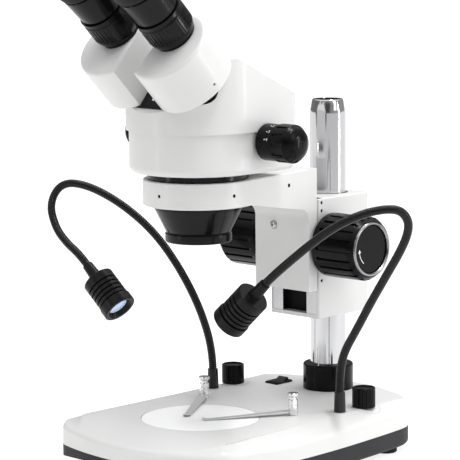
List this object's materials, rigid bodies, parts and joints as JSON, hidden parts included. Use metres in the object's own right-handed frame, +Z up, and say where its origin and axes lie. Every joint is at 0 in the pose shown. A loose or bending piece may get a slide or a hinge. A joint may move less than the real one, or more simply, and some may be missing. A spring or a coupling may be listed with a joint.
{
  "type": "stereo microscope",
  "caption": "Stereo zoom microscope on a column stand: inclined binocular head, rack focus, flat base with round stage plate, clips and gooseneck lamps.",
  "frame": {"origin": "on the bench, under the centre of the round stage plate and of the head's optical axis", "axes": "+Z up along the column; -Y towards the person using it, +Y towards the column; +X to that person's right"},
  "size_m": [0.3937, 0.3297, 0.434],
  "materials": {
    "white_paint": "satin",
    "tray_plastic": "matte",
    "foot_rubber": "matte",
    "steel": "brushed",
    "chrome": "polished",
    "black_plastic": "satin",
    "board": "matte",
    "black_metal": "satin",
    "brass": "machined",
    "lens_glass": "polished",
    "cup_rubber": "matte"
  },
  "bodies": {
    "stand": {"base_cover": "white_paint", "base_tray": "tray_plastic", "feet": "foot_rubber", "base_screws": "steel", "column": "chrome", "column_collar": "black_plastic", "control_board": "board", "power_switch": "black_plastic", "power_inlet": "black_plastic"},
    "stage_plate": {"stage_plate": "white_paint"},
    "clip_left": {"clip_post_left": "chrome", "clip_blade_left": "chrome"},
    "clip_right": {"clip_post_right": "chrome", "clip_blade_right": "chrome"},
    "dimmer_left": {"dimmer_knob_left": "black_plastic"},
    "dimmer_right": {"dimmer_knob_right": "black_plastic"},
    "rocker": {"switch_rocker": "black_plastic"},
    "arm_left": {"gooseneck_ferrule_left": "black_metal", "gooseneck_left": "black_metal", "lamp_housing_left": "black_metal", "lamp_lens_left": "lens_glass"},
    "arm_right": {"gooseneck_ferrule_right": "black_metal", "gooseneck_right": "black_metal", "lamp_housing_right": "black_metal", "lamp_lens_right": "lens_glass"},
    "column_sleeve": {"column_bush": "black_plastic"},
    "focus_block": {"focus_block": "white_paint", "guide_rails": "steel"},
    "column_clamp": {"clamp_knob": "black_plastic"},
    "focus_shaft": {"pinion_shaft": "steel", "focus_knob_left": "black_plastic", "focus_knob_right": "black_plastic"},
    "head_bracket": {"head_bracket": "white_paint", "focus_slide": "black_metal", "focus_rack": "brass", "bracket_screws": "steel"},
    "head": {"head_flange": "black_metal", "head_lower": "white_paint", "head_upper": "white_paint", "objective_housing": "black_metal", "objective_lens": "lens_glass", "drum_plate": "black_metal"},
    "zoom_drive": {"zoom_shaft": "steel", "zoom_knob_left": "black_plastic", "zoom_knob_right": "black_plastic"},
    "zoom_carriage": {"zoom_carriage": "black_metal"},
    "drum_left": {"drum_left": "white_paint", "eyetube_left": "black_metal", "prism_left": "lens_glass"},
    "diopter_left": {"diopter_ring_left": "black_metal"},
    "eyepiece_left": {"eyepiece_left": "black_metal", "eye_lens_left": "lens_glass", "eyecup_left": "cup_rubber"},
    "drum_right": {"drum_right": "white_paint", "eyetube_right": "black_metal", "prism_right": "lens_glass"},
    "diopter_right": {"diopter_ring_right": "black_metal"},
    "eyepiece_right": {"eyepiece_right": "black_metal", "eye_lens_right": "lens_glass", "eyecup_right": "cup_rubber"}
  },
  "joints": [
    {"name": "stage_plate_turn", "type": "hinge", "parent": "stand", "child": "stage_plate", "pos_m": [0, 0, 0.042], "axis": [0, 0, 1], "continuous": true},
    {"name": "clip_left_turn", "type": "hinge", "parent": "stand", "child": "clip_left", "pos_m": [-0.0522, 0.059, 0.047], "axis": [0, 0, 1], "range_deg": [-20, 60]},
    {"name": "clip_right_turn", "type": "hinge", "parent": "stand", "child": "clip_right", "pos_m": [0.0522, 0.059, 0.047], "axis": [0, 0, 1], "range_deg": [-60, 20]},
    {"name": "dimmer_left_turn", "type": "hinge", "parent": "stand", "child": "dimmer_left", "pos_m": [-0.077, 0.122, 0.05], "axis": [0, 0, 1], "range_deg": [0, 270]},
    {"name": "dimmer_right_turn", "type": "hinge", "parent": "stand", "child": "dimmer_right", "pos_m": [0.077, 0.122, 0.05], "axis": [0, 0, 1], "range_deg": [0, 270]},
    {"name": "switch_rock", "type": "hinge", "parent": "stand", "child": "rocker", "pos_m": [-0.0472, 0.1505, 0.0418], "axis": [1, 0, 0], "range_deg": [-12, 0]},
    {"name": "arm_left_swivel", "type": "hinge", "parent": "stand", "child": "arm_left", "pos_m": [-0.0746, 0.0933, 0.05], "axis": [0, 0, 1], "range_deg": [-15, 15]},
    {"name": "arm_right_swivel", "type": "hinge", "parent": "stand", "child": "arm_right", "pos_m": [0.0746, 0.0933, 0.05], "axis": [0, 0, 1], "range_deg": [-15, 15]},
    {"name": "column_height", "type": "slide", "parent": "stand", "child": "column_sleeve", "axis": [0, 0, 1], "range_m": [-0.01, 0.07]},
    {"name": "column_swing", "type": "hinge", "parent": "column_sleeve", "child": "focus_block", "pos_m": [0, 0.164, 0.16], "axis": [0, 0, 1], "range_deg": [-15, 15]},
    {"name": "clamp_turn", "type": "hinge", "parent": "focus_block", "child": "column_clamp", "pos_m": [0, 0.2, 0.15], "axis": [0, 1, 0], "range_deg": [-90, 90]},
    {"name": "focus_travel", "type": "slide", "parent": "focus_block", "child": "head_bracket", "axis": [0, 0, 1], "range_m": [-0.022, 0.022]},
    {"name": "focus_knob_turn", "type": "hinge", "parent": "focus_block", "child": "focus_shaft", "pos_m": [0, 0.1306, 0.1799], "axis": [1, 0, 0], "range_deg": [-226, 226]},
    {"name": "head_turn", "type": "hinge", "parent": "head_bracket", "child": "head", "pos_m": [0, 0, 0.24], "axis": [0, 0, 1], "continuous": true},
    {"name": "zoom_turn", "type": "hinge", "parent": "head", "child": "zoom_drive", "pos_m": [0, 0.02, 0.28], "axis": [1, 0, 0], "range_deg": [-135, 135]},
    {"name": "zoom_travel", "type": "slide", "parent": "head", "child": "zoom_carriage", "axis": [0, 0, 1], "range_m": [-0.0081, 0.0081]},
    {"name": "drum_left_turn", "type": "hinge", "parent": "head", "child": "drum_left", "pos_m": [-0.0295, -0.064, 0.3621], "axis": [0, -0.7071, 0.7071], "range_deg": [-25, 25]},
    {"name": "diopter_left_turn", "type": "hinge", "parent": "drum_left", "child": "diopter_left", "pos_m": [-0.0315, -0.05658, 0.36952], "axis": [0, -0.7071, 0.7071], "range_deg": [-170, 170]},
    {"name": "eyepiece_left_pull", "type": "slide", "parent": "drum_left", "child": "eyepiece_left", "axis": [0, -0.7071, 0.7071], "range_m": [0, 0.02]},
    {"name": "drum_right_turn", "type": "hinge", "parent": "head", "child": "drum_right", "pos_m": [0.0295, -0.064, 0.3621], "axis": [0, -0.7071, 0.7071], "range_deg": [-25, 25]},
    {"name": "diopter_right_turn", "type": "hinge", "parent": "drum_right", "child": "diopter_right", "pos_m": [0.0315, -0.05658, 0.36952], "axis": [0, -0.7071, 0.7071], "range_deg": [-170, 170]},
    {"name": "eyepiece_right_pull", "type": "slide", "parent": "drum_right", "child": "eyepiece_right", "axis": [0, -0.7071, 0.7071], "range_m": [0, 0.02]}
  ],
  "couplings": [
    {"joint": "focus_knob_turn", "follows": "focus_travel", "rad_per_m": -178.57},
    {"joint": "zoom_travel", "follows": "zoom_turn", "m_per_rad": 0.0034},
    {"joint": "drum_right_turn", "follows": "drum_left_turn", "ratio": -1}
  ]
}
